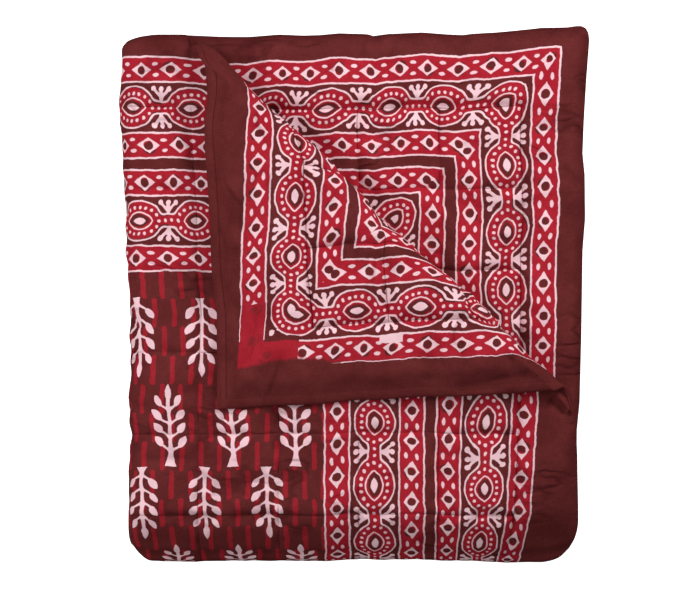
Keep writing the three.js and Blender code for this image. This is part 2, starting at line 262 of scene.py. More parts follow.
PRINT_DRIFT, DRIFT_NOISE = 0.040, (5.0, 0.0)

# Faults of the print on the turned-back corner: a missed block, thin lines, a blot and a smudged edge
MISSED_CORNER = (0.145, 0.138)
MISSED_DEPTH = EYE_WIDTH * 1.2
MISSED_LINES = 0.062
MISSED_RED = (0.45, 0.88)
THIN_LINE = 0.0022
WORN_LINE = 0.008
BLOT, BLOT_HALF = (0.0495, 0.343), (0.0100, 0.026)
COVERED = 0.016
COVERED_RISE, COVERED_FALL, COVERED_END = 0.100, 0.060, 0.235
SMUDGE, SMUDGE_NOISE = 0.012, (40.0, 2.0)
SMUDGE_SOFTNESS = 0.009

# Chain of medallions, drawn at one repeat: half sizes across and along, lines and dots
CHAIN_REPEAT = 0.150
OVAL_HALF = (0.0462, 0.0585)
OVAL_SCALE = 0.0495
OVAL_LINE = 0.0039
OVAL_TILT, OVAL_INSET = 0.11, 0.0022
NECK_HALF = 0.0140
NECK_BLEND = 0.012
RING_HALF = (0.0305, 0.050)
RING_DOTS = 16
RING_DOT = 0.0039
RING_EVEN = 0.13
NECK_DOT_AT = 0.0663
ALMOND = (0.0380, 0.0180)
ALMOND_LINE = 0.0034
ALMOND_TILT, ALMOND_INSET = 0.18, 0.0045
ALMOND_HEART = (0.0205, 0.0122)
SPROUT_STEM = ((0.016, 0.0), (0.0415, 0.0), 0.0042)
SPROUT_ARM = ((0.021, 0.0), (0.0415, 0.0205), 0.0034)
SPROUT_LOBE = 0.0063
SPROUT_BLEND = 0.008

# Lozenge eyes between pink lines
LOZENGE_SLOPE = (0.565, 0.825)
LOZENGE_SIZE = 0.0147
EYE_HOLE = 0.0102
EYE_LENS = 0.0155
EYE_SHIFT = 0.0066
HOLE_SHIFT, LENS_SHIFT = 0.3, 1.6
EYE_STAGGER = 0.015
INNERMOST_STAGGER = -0.009
SEED_HALF = (0.0079, 0.0041)
SEED_OFF = 0.0124

# Field: leafy sprigs in rows that point up and down by turns, and short dashes
SPRIG_ROW_START = 0.109
SPRIG_LENGTH = 0.195
SPRIG_PITCH = 0.144
SPRIG_START = 0.060
SPRIG_STAGGER = 0.068
SPRIG_LEAN, SPRIG_LEAN_AT = 0.036, 0.150
ROW_SHIFT = 0.005
ROW_PRESS, ROW_PRESS_AT = 0.0955, 0.299
SPRIG_TOP = 0.684
SPRIG_LAST = 0.450
STEM_HALF = 0.0040
STEM_TOP = 0.155
FOOT_LENGTH = (0.030, 0.047)
FOOT_FLARE = 0.0092
LEAF_PAIRS = 4
LEAF_START = (0.019, 0.0357)
LEAF_PITCH = (0.0345, 0.031)
LEAF_SHEAR = 0.81
LEAF_MIDDLE = (0.0262, 0.0215)
LEAF_DIRECTION = (0.60, 0.80)
LEAF = (0.0187, 0.0107)
LEAF_STALK = ((0.0, 0.0), (0.0165, 0.0105), 0.0024)
STALK_BLEND = 0.007
TOP_PAIR_IN = 0.2
TIP_MIDDLE = 0.168
TIP = (0.0285, 0.0212)
DASH_START = (0.081, 0.519)
DASH_REPEAT = 0.1306
DASH_PITCH = 0.02185
DASH_STRAIGHT = 0.028
DASH_RADIUS = 0.0056
DASH_INK = 0.72

# Colours of the cloth, each from its darker to its lighter threads, and the painted shade that darkens the
# hem's stitched groove, the seams and the crinkles
BROWN_DARK = (0.088, 0.0135, 0.0140, 1.0)
BROWN_LIGHT = (0.172, 0.0310, 0.0310, 1.0)
RED_DARK = (0.305, 0.0096, 0.0200, 1.0)
RED_LIGHT = (0.515, 0.0270, 0.0440, 1.0)
PINK_DARK = (0.860, 0.520, 0.575, 1.0)
PINK_LIGHT = (1.000, 0.690, 0.740, 1.0)
SHADED = (0.030, 0.004, 0.005, 1.0)
MOTTLE_TONE, MOTTLE_NOISE = 1.2, (14.0, 4.0)
COTTON_ROUGHNESS = 0.9

# Weave, as threads stretched along and across the cloth. A noise is its scale and its detail
THREADS_ALONG = (60.0, 420.0, 1.0)
THREADS_ACROSS = (420.0, 60.0, 1.0)
THREAD_NOISE = (1.0, 2.0)
NOISE_ROUGHNESS = 0.6
WEAVE_TONE = 0.7
WEAVE_HEIGHT = 0.00025

# Stitches of the hem and the seams: painted shade along the hem's groove and the seams, and the seams' groove
# in the bump. A patch is how hard its edge is, and the level that it starts from
HEM_SHADE_LINE = 0.0015
HEM_SHADE = 0.5
SEAM_LINE = 0.0014
SEAM_SHADE = 0.6
SEAM_GROOVE = 0.006
SEAM_DEPTH = 0.0012
SEAM_NOISE, SEAM_PATCH = (11.0, 2.0), (5.0, 2.1)
OUTER_SEAM = 0.8

# Fine crinkles of the cotton, in patches: a dent in the bump, and painted shade in their valleys
CRINKLE_PER_METRE = (5.0, 11.0, 1.0)
CRINKLE_NOISE = (1.0, 2.5)
CRINKLE_SHARP = 20.0
CRINKLE_DEPTH = 0.0022
CRINKLE_SHADE = 0.35
CRINKLED_NOISE, CRINKLED_PATCH = (6.0, 1.0), (6.0, 2.8)

# Studio
WHITE = (1.0, 1.0, 1.0, 1.0)
BOARD_WHITE = (0.95, 0.95, 0.95, 1.0)
FLOOR_SIZE = 14.0
FLOOR_GLOW = 1.0
ROOM_LIGHT = 0.32
LAMP_SIZE = 1.6
Lamp = namedtuple("Lamp", "name power place")
LAMPS = (Lamp("right_lamp", 77.0, (2.0, 2.1, 1.9)), Lamp("left_lamp", 45.0, (-2.1, 0.4, 2.2)))


def smoothstep(value, low, high):
    """0 below low, 1 above high, and a smooth cubic between them."""
    share = np.clip((value - low) / (high - low), 0.0, 1.0)
    return share * share * (3.0 - 2.0 * share)


def lerp(start, end, share):
    """A value part of the way from start to end."""
    return start + (end - start) * share


def ripples(x, y, length, waves, seed):
    """Smooth uneven height from -1 to 1: a sum of sine waves about one length, in seeded directions."""
    rng = np.random.default_rng(seed)
    total = np.zeros(np.broadcast(x, y).shape)
    for _ in range(waves):
        angle, phase = rng.uniform(0.0, 2.0 * pi, 2)
        turn = 2.0 * pi / (length * rng.uniform(*WAVE_SPREAD))
        total += np.sin(turn * (x * np.cos(angle) + y * np.sin(angle)) + phase)
    return total / np.sqrt(waves)


def drawn_in(edge, from_edge):
    """How far a place moves in from where it would lie flat: a hanging part, then a smooth turn."""
    turned = np.clip((from_edge - edge.hang) / (edge.flat - edge.hang), 0.0, 1.0)
    turning = (edge.flat - edge.hang) * (0.5 - turned + turned ** 3 - turned ** 4 / 2)
    return (1.0 - edge.steep) * (turning + np.maximum(edge.hang - from_edge, 0.0))


def open_height(opening, distance):
    """Share of the full height at a distance from an open edge, a power curve up to its run."""
    return lerp(1.0, opening.share, (1.0 - np.clip(distance / opening.run, 0.0, 1.0)) ** opening.power)


PLAN_LEFT = -(SIDE_RADIUS + HALF_LOFT)
PLAN_RIGHT = HALF_WIDTH - SIDE_BEND - drawn_in(DRAWN_SIDE, 0.0)
PLAN_BOTTOM = -FOLD_LEVEL * END_SQUASH
PLAN_TOP = HALF_LENGTH - END_BEND - drawn_in(DRAWN_END, 0.0)


def stack_height(x, y):
    """Share of the full height that the stack keeps at a place in the packet's plan."""
    sides = open_height(OPEN_SIDE, PLAN_RIGHT - x) * open_height(OPEN_END, PLAN_TOP - y)
    near_side = smoothstep(x, PLAN_RIGHT - DROOP_REACH[0], PLAN_RIGHT)
    near_end = np.clip(1.0 - (y - PLAN_BOTTOM) / DROOP_REACH[1], 0.0, 1.0) ** DROOP_POWER
    drooped = 1.0 - DROOP * near_side * near_end
    return sides * drooped * lerp(END_HEIGHT_SHARE, 1.0, smoothstep(y, *END_SLOPE))


def past_crease(across, along):
    """Distance past the crease, along the layer. Where the stack thins, the crease starts later."""
    x = across - SIDE_BEND - CREASE_POINT[0]
    y = along - END_BEND - CREASE_POINT[1]
    run = x * CREASE_RUN[0] + y * CREASE_RUN[1]
    crease_x = CREASE_POINT[0] + run * CREASE_RUN[0]
    crease_y = CREASE_POINT[1] + run * CREASE_RUN[1]
    later = ROLL_REACH * (ROLL_RADIUS + HALF_LOFT) * (1.0 - stack_height(crease_x, crease_y))
    later = later + LATE_END * (1.0 - smoothstep(run, LATE_FROM, LATE_TO))
    return x * CREASE_NORMAL[0] + y * CREASE_NORMAL[1] - later


def drawn_cloth(across, along):
    """The cloth's place with its open edges drawn in. Past the crease the flap is drawn in less."""
    from_side = HALF_WIDTH - np.abs(across)
    from_end = HALF_LENGTH - np.abs(along)
    side = drawn_in(DRAWN_SIDE, from_side)
    end = drawn_in(DRAWN_END, from_end)
    past = past_crease(across - np.sign(across) * side, along - np.sign(along) * end)
    past = np.where((across > 0.0) & (along > 0.0), past, MOUTH_START)
    turned = smoothstep(past, 0.0, ROLL_BEND)
    opened = smoothstep(past, MOUTH_START, MOUTH_MIDDLE) - smoothstep(past, MOUTH_MIDDLE, ROLL_BEND)
    mouth = MOUTH_DEPTH * opened * (1.0 - smoothstep(from_side, 0.0, MOUTH_REACH))
    side = lerp(side, drawn_in(DRAWN_FLAP_SIDE, from_side), turned) + mouth
    end = lerp(end, drawn_in(DRAWN_FLAP_END, from_end), turned)
    return across - np.sign(across) * side, along - np.sign(along) * end


def bend(along, height, bend_length, radius):
    """One fold: flat beyond the bend, and round a half circle within it."""
    radius = radius + height
    angle = along / bend_length * pi / 2
    flat = np.abs(along) >= bend_length
    out = np.where(flat, np.abs(along) - bend_length, -radius * np.cos(angle))
    up = np.where(flat, np.sign(along) * radius, radius * np.sin(angle))
    return out, up


def turn_back(x, y, z, past, own_height):
    """Turns the top layer's corner up and back about the crease, and lays it on the layer below."""
    rise = z - (TOP_LEVEL - HALF_LOFT)
    angle = np.minimum(past / ROLL_BEND, 1.0) * pi
    radius = ROLL_RADIUS - rise
    run = (x - CREASE_POINT[0]) * CREASE_RUN[0] + (y - CREASE_POINT[1]) * CREASE_RUN[1]
    uneven = np.interp(run, ROLL_AT, ROLL_OUT) * radius / (ROLL_RADIUS + HALF_LOFT)
    roll = (ROLL_REACH * radius + uneven) * np.sin(angle) * stack_height(x, y)
    pulled = 1.0 - np.minimum((run / FLAP_PULL_REACH) ** 2, 1.0)
    pulled = pulled * smoothstep(past, *FLAP_PULL_BEND)
    tip = (1.0 - smoothstep(run, TIP_PULL_FROM, TIP_PULL_TO)) * smoothstep(past, *TIP_PULL_BEND)
    moved = roll - np.maximum(past - ROLL_BEND, 0.0) - past
    x = x + moved * CREASE_NORMAL[0] + pulled * FLAP_PULL[0] + tip * TIP_PULL
    y = y + moved * CREASE_NORMAL[1] + pulled * FLAP_PULL[1]
    z = z - rise + ROLL_RADIUS - radius * np.cos(angle)
    base = TOP_LEVEL + ROLL_GAP
    above = np.maximum(z - base, 0.0) * own_height
    settled = (ROLL_GAP - FLAP_GAP) * smoothstep(past, ROLL_BEND, ROLL_BEND + FLAP_SETTLES)
    return x, y, (np.minimum(z, base) - settled) * stack_height(x, y) + above


def drooped_corner(x, y):
    """X of places drawn to the left where the lower right corner droops, most just inside its border."""
    from_side = PLAN_RIGHT - x
    pulled = 1.0 - smoothstep(from_side, DROOP_PULL_MOST, DROOP_PULL_FROM)
    pulled = pulled * smoothstep(from_side, 0.0, DROOP_PULL_MOST)
    return x - DROOP_PULL * pulled * np.clip(1.0 - (y - PLAN_BOTTOM) / DROOP_PULL_REACH, 0.0, 1.0) ** 2


def round_corners(x, y):
    """Draws each corner in along an ellipse: a place moves in by how far out it is the other way."""
    for corner in CORNERS:
        edge_x = PLAN_RIGHT if corner.right > 0 else PLAN_LEFT
        edge_y = PLAN_TOP if corner.upper > 0 else PLAN_BOTTOM
        out_x = corner.right * (x - edge_x) + corner.along_x
        out_y = corner.upper * (y - edge_y) + corner.along_y
        within = (out_x > 0.0) & (out_y > 0.0)
        share_x = np.clip(out_x / corner.along_x, 0.0, 1.0)
        share_y = np.clip(out_y / corner.along_y, 0.0, 1.0)
        moved_x = corner.right * out_x * (1.0 - np.sqrt(1.0 - corner.round * share_y ** 2 / 2))
        moved_y = corner.upper * out_y * (1.0 - np.sqrt(1.0 - corner.round * share_x ** 2 / 2))
        x = np.where(within, x - moved_x, x)
        y = np.where(within, y - moved_y, y)
    return x, y


def uneven_outline(x, y):
    """Moves places with the uneven edges, by a blend of the two edges that they lie between."""
    share_x = np.clip((x - PLAN_LEFT) / (PLAN_RIGHT - PLAN_LEFT), 0.0, 1.0)
    share_y = np.clip((y - PLAN_BOTTOM) / (PLAN_TOP - PLAN_BOTTOM), 0.0, 1.0)
    left = np.interp(share_y, LEFT_AT, LEFT_EDGE)
    right = np.interp(share_y, RIGHT_AT, RIGHT_EDGE)
    bottom = np.interp(share_x, BOTTOM_AT, BOTTOM_END)
    top = np.interp(share_x, TOP_AT, TOP_END)
    return x + lerp(left, right, share_x), y + lerp(bottom, top, share_y)


def fold_cloth(across, along, rise):
    """Where points of the cloth lie in the packet: the side fold, the end fold, then the turned corner."""
    place_across, place_along = drawn_cloth(across, along)
    x, height = bend(place_across, rise, SIDE_BEND, SIDE_RADIUS)
    y, up = bend(place_along, height, END_BEND, PACK_RADIUS)
    z = FOLD_LEVEL + up
    past = np.where((across > 0.0) & (along > 0.0), past_crease(place_across, place_along), -1.0)
    own_height = (open_height(OPEN_FLAP, HALF_WIDTH - np.abs(across))
                  * open_height(OPEN_FLAP, HALF_LENGTH - np.abs(along)))
    turned = turn_back(x, y, z, past, own_height)
    flat = (x, y, z * stack_height(x, y))
    x, y, z = (np.where(past > 0.0, up_there, down_here) for up_there, down_here in zip(turned, flat))
    y = np.where(y < 0.0, y * END_SQUASH, y)
    x, y = uneven_outline(*round_corners(drooped_corner(x, y), y))
    return np.stack((x, y, z), axis=-1)


def hem_height(from_side, from_end):
    """Half thickness at the sewn edge: a rounded flange, a stitched groove, then the swelling fill."""
    from_edge = np.minimum(from_side, from_end)
    rounding = np.clip(1.0 - from_edge / HEM_ROUNDING, 0.0, 1.0)
    flange = HEM_HALF_THICKNESS * np.sqrt(np.maximum(1.0 - rounding ** 2, HEM_LIP))
    groove = HEM_GROOVE * np.exp(-((from_edge - HEM_WIDTH) / HEM_GROOVE_WIDTH) ** 2)
    groove = groove * np.where(from_end < from_side, 1.0, SIDE_GROOVE_SHARE)
    return flange - groove + (HALF_LOFT - flange) * smoothstep(from_edge, HEM_WIDTH, HEM_SWELL)


def quilting(across, along):
    """Depth of the stitched channels, with puckers across them that fade away from the stitches."""
    column = across / COLUMN_PITCH
    row = along / ROW_PITCH
    outer = (np.abs(column) > QUILT_COLUMNS / 2 - 0.5) | (np.abs(row) > QUILT_ROWS / 2 - 0.5)
    column = np.abs(column - np.clip(np.round(column), -QUILT_COLUMNS / 2, QUILT_COLUMNS / 2))
    row = np.abs(row - np.clip(np.round(row), -QUILT_ROWS / 2, QUILT_ROWS / 2))
    from_column = column * COLUMN_PITCH + np.maximum(np.abs(along) - HALF_LENGTH + END_BORDER, 0.0)
    from_row = row * ROW_PITCH + np.maximum(np.abs(across) - HALF_WIDTH + SIDE_BORDER, 0.0)
    nearest = np.minimum(from_column, from_row)
    along_line = np.where(from_column < from_row, along, across)
    pucker = ripples(along_line, nearest, PUCKER_LENGTH, *PUCKER_WAVES)
    pucker = pucker * np.exp(-(nearest / PUCKER_REACH) ** 2)
    pull = PULL_MEAN + PULL_UNEVEN * ripples(across, along, PULL_LENGTH, *PULL_WAVES)
    channel = CHANNEL_DEPTH * np.exp(-(nearest / CHANNEL_WIDTH) ** 2)
    channel += STITCH_DEPTH * np.exp(-(nearest / STITCH_WIDTH) ** 2)
    depth = channel * np.clip(pull + OUTER_PULL * outer, PULL_LEAST, PULL_MOST) + PUCKER_HEIGHT * pucker
    depth *= smoothstep(np.abs(across), *SIDE_FADE) * smoothstep(np.abs(along), *END_FADE)
    at_fold = np.exp(-(across / FOLD_PUCKER_REACH) ** 2)
    return depth + FOLD_PUCKER * at_fold * ripples(along, across, FOLD_PUCKER_LENGTH, *FOLD_PUCKER_WAVES)


def crease_depth(surface, x, y):
    """Soft troughs along straight lines, each fading out towards its ends."""
    depth = np.zeros(x.shape)
    for crease in CREASES:
        if crease.surface != surface:
            continue
        run_x, run_y = crease.x1 - crease.x0, crease.y1 - crease.y0
        length = np.hypot(run_x, run_y)
        share = ((x - crease.x0) * run_x + (y - crease.y0) * run_y) / length ** 2
        off = ((x - crease.x0) * run_y - (y - crease.y0) * run_x) / length
        fade = smoothstep(share, 0.0, CREASE_FADE) * (1.0 - smoothstep(share, 1.0 - CREASE_FADE, 1.0))
        depth += crease.depth * fade * np.exp(-(off / crease.width) ** 2)
    return depth


def grid_lines(spans, pitch, squares):
    """Lines over one direction of the cloth: each span in equal steps, with closer ones by the stitches."""
    stitches = (np.arange(squares + 1) - squares / 2) * pitch
    beside = (stitches[:, None] + np.array(BESIDE_STITCHES)).ravel()
    lines = []
    for start, end, step in spans:
        even = np.linspace(start, end, int(np.ceil((end - start) / step)), endpoint=False)
        close = beside[(beside > start + FINE_STEP) & (beside < end - FINE_STEP) & (step < FINE_STEP)]
        apart = np.abs(even[:, None] - close).min(axis=1, initial=1.0) > CLOSEST_LINES
        lines.append(np.sort(np.concatenate((even[apart], close))))
    return np.concatenate(lines + [[spans[-1][1]]])


def cloth_face(across, along, face):
    """Points of one face in the packet's frame: the bare fold first, then again with the relief on it."""
    from_side = HALF_WIDTH - np.abs(across)
    from_end = HALF_LENGTH - np.abs(along)
    from_edge = np.minimum(from_side, from_end)
    fade = smoothstep(from_edge, *HEM_FADE)
    swell = hem_height(from_side, from_end) - quilting(across, along) * fade
    bare = fold_cloth(across, along, face * swell) - PACKET_MIDDLE
    x, y = bare[..., 0], bare[..., 1]
    past = past_crease(*drawn_cloth(across, along))
    upper = along > 0.0
    dents = np.zeros(across.shape)
    if face > 0.0:
        dents += crease_depth("top", x, y) * (upper & (across > 0.0) & (past < 0.0))
    else:
        dents += crease_depth("under", x, y) * (upper & (across < 0.0))
        dents += crease_depth("flap", x, y) * (upper & (across > 0.0) & (past > ROLL_BEND))
    uneven = SLACK_HEIGHT * ripples(across, along, SLACK_LENGTH, SLACK_WAVES, SLACK_SEED + int(face))
    uneven += CRUMPLE_HEIGHT * ripples(across, along, CRUMPLE_LENGTH, CRUMPLE_WAVES, CRUMPLE_SEED + int(face))
    height = np.maximum(swell - dents - uneven * fade, THINNEST)
    points = fold_cloth(across, along, face * height) - PACKET_MIDDLE
    points[..., 2] = np.maximum(points[..., 2], 0.0)
    return points


def grid_quads(shape, flip):
    """Four-sided faces between the neighbours of a grid, or the same turned round."""
    rows, columns = shape
    index = np.arange(rows * columns).reshape(rows, columns)
    corners = [index[:-1, :-1], index[:-1, 1:], index[1:, 1:], index[1:, :-1]]
    if flip:
        corners.reverse()
    return np.stack(corners, axis=-1).reshape(-1, 4)


def grid_rim(shape):
    """Vertex numbers round a grid's edge, anticlockwise from its first corner, and back to it."""
    rows, columns = shape
    index = np.arange(rows * columns).reshape(rows, columns)
    return np.concatenate((index[0, :-1], index[:-1, -1], index[-1, :0:-1], index[::-1, 0]))


def zip_rims(first, first_at, second, second_at):
    """Triangles between two closed rims: each step goes on along the rim whose next point comes first."""
    other = np.searchsorted(second_at[1:], first_at[1:], side="left")
    steps_first = np.stack((first[:-1], second[other], first[1:]), axis=-1)
    other = np.searchsorted(first_at[1:], second_at[1:], side="right")
    steps_second = np.stack((second[:-1], second[1:], first[other]), axis=-1)
    return np.concatenate((steps_first, steps_second))


def rim_places(rim, across, along):
    """How far round the cloth's edge each point of a rim is."""
    steps = np.hypot(np.diff(across.ravel()[rim]), np.diff(along.ravel()[rim]))
    return np.concatenate(([0.0], np.cumsum(steps)))


def print_places(across, along, face):
    """Where the print lies: its place on the cloth as laid, and the depth in from its outer lines.

    On the reverse the end bands were printed a little askew, more so on the turned-back corner.
    """
    place_across, place_along = drawn_cloth(across, along)
    side_line, end_line = PRINT_LINES[face]
    if face < 0.0:
        under = SKEW_UNDER * (np.abs(place_across) - SKEW_UNDER_AT)
        turned = SKEW_FLAP * (place_across - SKEW_FLAP_AT)
        end_line = end_line + lerp(under, turned, smoothstep(place_across, *SKEW_BLEND))
    from_edge = np.minimum(HALF_WIDTH - np.abs(across), HALF_LENGTH - np.abs(along))
    place = np.stack((place_across, place_along, np.full(across.shape, face)), axis=-1)
    depth = np.stack((side_line - np.abs(place_across), end_line - np.abs(place_along), from_edge), axis=-1)
    flat = np.stack((across, along, np.zeros(across.shape)), axis=-1)
    return {"print": place, "edges": depth, "cloth": flat}


def comforter_mesh():
    """Both faces of the cloth and the strip between their rims, with the print's places on every vertex."""
    points, layers, quads, rims, rim_at = [], [], [], [], []
    grids = ((1.0, RIGHT_SIDE_COLUMNS, RIGHT_SIDE_ROWS), (-1.0, REVERSE_COLUMNS, REVERSE_ROWS))
    start = 0
    for face, columns, rows in grids:
        across, along = np.meshgrid(grid_lines(columns, COLUMN_PITCH, QUILT_COLUMNS),
                                    grid_lines(rows, ROW_PITCH, QUILT_ROWS))
        rim = grid_rim(across.shape)
        points.append(cloth_face(across, along, face).reshape(-1, 3))
        layers.append(print_places(across, along, face))
        quads.append(grid_quads(across.shape, face < 0.0) + start)
        rims.append(rim + start)
        rim_at.append(rim_places(rim, across, along))
        start += across.size
    triangles = zip_rims(rims[0], rim_at[0], rims[1], rim_at[1])
    mesh = bpy.data.meshes.new("comforter_cloth")
    mesh.from_pydata(np.concatenate(points).tolist(), [], np.concatenate(quads).tolist() + triangles.tolist())
    mesh.polygons.foreach_set("use_smooth", np.ones(len(mesh.polygons), dtype=bool))
    for name in layers[0]:
        layer = mesh.attributes.new(name, "FLOAT_VECTOR", "POINT")
        layer.data.foreach_set("vector", np.concatenate([faces[name].ravel() for faces in layers]))
    mesh.update()
    return mesh


class Ink:
    """One value in a material. Sums, products and comparisons of inks add the nodes for them."""

    def __init__(self, tree, socket=None):
        self.tree = tree
        self.socket = socket

    def node(self, kind, settings, sockets, output=0):
        """Adds a node: its settings, then the values or inks on its sockets. Gives one of its outputs."""
        node = self.tree.nodes.new(kind)
        for name, value in settings.items():
            setattr(node, name, value)
        for place, value in sockets.items():
            if isinstance(value, Ink):
                self.tree.links.new(value.socket, node.inputs[place])
            else:
                node.inputs[place].default_value = value
        return Ink(self.tree, node.outputs[output])

    def math(self, operation, *others, clamp=False):
        sockets = dict(enumerate((self, *others)))
        return self.node("ShaderNodeMath", {"operation": operation, "use_clamp": clamp}, sockets)

    def __add__(self, other):
        return self.math("ADD", other)

    def __sub__(self, other):
        return self.math("SUBTRACT", other)

    def __rsub__(self, other):
        return self.math("MULTIPLY_ADD", -1.0, other)

    def __mul__(self, other):
        return self.math("MULTIPLY", other)

    def __truediv__(self, other):
        return self.math("DIVIDE", other)

    def __abs__(self):
        return self.math("ABSOLUTE")

    def __gt__(self, other):
        return self.math("GREATER_THAN", other)

    def __lt__(self, other):
        return self.math("LESS_THAN", other)

    __radd__ = __add__
    __rmul__ = __mul__

    def least(self, other):
        return self.math("MINIMUM", other)

    def most(self, other):
        return self.math("MAXIMUM", other)

    def attribute(self, name):
        """The vector that the mesh holds under this name."""
        return self.node("ShaderNodeAttribute", {"attribute_name": name}, {}, 1)

    def parts(self):
        """The three parts of a vector or colour."""
        return [self.node("ShaderNodeSeparateXYZ", {}, {0: self}, output) for output in range(3)]

    def vector(self, y, z):
        return self.node("ShaderNodeCombineXYZ", {}, {0: self, 1: y, 2: z})

    def stretched(self, scale):
        """This place with each of its parts scaled."""
        return self.node("ShaderNodeVectorMath", {"operation": "MULTIPLY"}, {0: self, 1: scale})

    def chances(self):
        """Three random values from 0 to 1, one set for each vector of whole numbers."""
        return self.node("ShaderNodeTexWhiteNoise", {}, {"Vector": self}, 1).parts()

    def noise(self, scale, detail, output=0):
        """Uneven value about 0.5, or a colour of three of them, at this place."""
        sockets = {"Vector": self, "Scale": scale, "Detail": detail, "Roughness": NOISE_ROUGHNESS}
        return self.node("ShaderNodeTexNoise", {}, sockets, output)

    def patches(self, noise, patch):
        """1 in patches and 0 between them: a noise times a hardness, less a level."""
        return (self.noise(*noise) * patch[0]).math("SUBTRACT", patch[1], clamp=True)

    def blend(self, first, second, share):
        """A colour part of the way from one to another."""
        return self.node("ShaderNodeMix", {"data_type": "RGBA"}, {0: share, 6: first, 7: second}, 2)


def length(x, y):
    """Distance from the origin."""
    return (x * x).math("ADD", y * y).math("SQRT")


def inside(distance):
    """1 inside a shape and 0 outside it, from the signed distance to its edge, with a soft printed edge."""
    return distance.math("MULTIPLY_ADD", -1.0 / PRINT_SOFTNESS, 0.5, clamp=True)


def capsule(x, y, start, end, radius):
    """Distance to a round-ended bar between two places."""
    run_x, run_y = end[0] - start[0], end[1] - start[1]
    squared = run_x ** 2 + run_y ** 2
    share = (x - start[0]) * (run_x / squared)
    share = share.math("ADD", (y - start[1]) * (run_y / squared), clamp=True)
    return length(x - start[0] - share * run_x, y - start[1] - share * run_y) - radius


def almond(x, y, radius, middle):
    """Distance to a leaf of two arcs that meet in points along Y."""
    return length(abs(x) + middle, y) - radius


def from_line(place, pitch, squares):
    """Distance to the nearest of the stitched lines, which stop at the border."""
    count = place / pitch
    return abs(count - count.math("ROUND").most(-squares / 2).least(squares / 2)) * pitch


def chain_motif(off, run, chance):
    """Joined medallions: a red oval with a pink rim and dots, an almond in it and sprigs at the necks."""
    w = (run - run.math("ROUND")) * CHAIN_REPEAT
    v = abs(off)
    w_side = abs(w)
    oval = (length(v / OVAL_HALF[0], w / OVAL_HALF[1]) - 1.0) * OVAL_SCALE
    body = oval.math("SMOOTH_MIN", v - NECK_HALF, NECK_BLEND)
    tilt = (chance[0] - 0.5) * off + (chance[1] - 0.5) * w
    red = inside(body + tilt * OVAL_TILT + OVAL_INSET)
    pink = inside(abs(body) - OVAL_LINE / 2)
    turn = (v / RING_HALF[0]).math("ARCTAN2", w_side / RING_HALF[1])
    turn = turn - (turn * 2.0).math("SINE") * RING_EVEN
    step = (turn * (RING_DOTS / (2 * pi))).math("ROUND") * (2 * pi / RING_DOTS)
    step = step + (step * 2.0).math("SINE") * RING_EVEN
    dot = length(v - step.math("SINE") * RING_HALF[0], w_side - step.math("COSINE") * RING_HALF[1]) - RING_DOT
    dot = dot.least(length(v, w_side - NECK_DOT_AT) - RING_DOT)
    pink = pink.most(inside(dot))
    eye = almond(v, w, *ALMOND)
    red = red * (1.0 - inside(eye + tilt * ALMOND_TILT + ALMOND_INSET))
    pink = pink.most(inside(abs(eye) - ALMOND_LINE / 2))
    pink = pink.most(inside(almond(v, w, *ALMOND_HEART)))
    from_neck = CHAIN_REPEAT / 2 - w_side
    sprig = capsule(v, from_neck, *SPROUT_STEM)
    sprig = sprig.math("SMOOTH_MIN", capsule(v, from_neck, *SPROUT_ARM), SPROUT_BLEND)
    (stem_v, stem_w), (arm_v, arm_w) = SPROUT_STEM[1], SPROUT_ARM[1]
    lobes = length(v - stem_v, from_neck - stem_w).least(length(v - arm_v, from_neck - arm_w)) - SPROUT_LOBE
    sprig = sprig.least(lobes)
    return red, pink.most(inside(sprig))


def eye_motif(off, run, chance):
    """Lozenges with a dark round hole, and pairs of small seeds between them."""
    w = (run - run.math("ROUND")) * (CHAIN_REPEAT / 2)
    shift_w = (chance[0] - 0.5) * EYE_SHIFT
    shift_v = (chance[1] - 0.5) * EYE_SHIFT
    lozenge = abs(w) * LOZENGE_SLOPE[0] + abs(off) * LOZENGE_SLOPE[1] - LOZENGE_SIZE
    hole = length(w + shift_v * HOLE_SHIFT, off) - EYE_HOLE
    seed_w = (abs(w) - CHAIN_REPEAT / 4) / SEED_HALF[0]
    seed_v = (abs(off) - SEED_OFF) / SEED_HALF[1]
    seed = (length(seed_w, seed_v) - 1.0) * SEED_HALF[1]
    pink = (inside(lozenge) * (1.0 - inside(hole))).most(inside(seed))
    disc = length(w + shift_w, off + shift_v)
    lens = length(w + shift_w * LENS_SHIFT, off + shift_v * LENS_SHIFT) - EYE_LENS
    dark = inside((disc - EYE_HOLE).most(hole)).most(inside(lens) * (1.0 - inside(lozenge)))
    return 1.0 - dark, pink


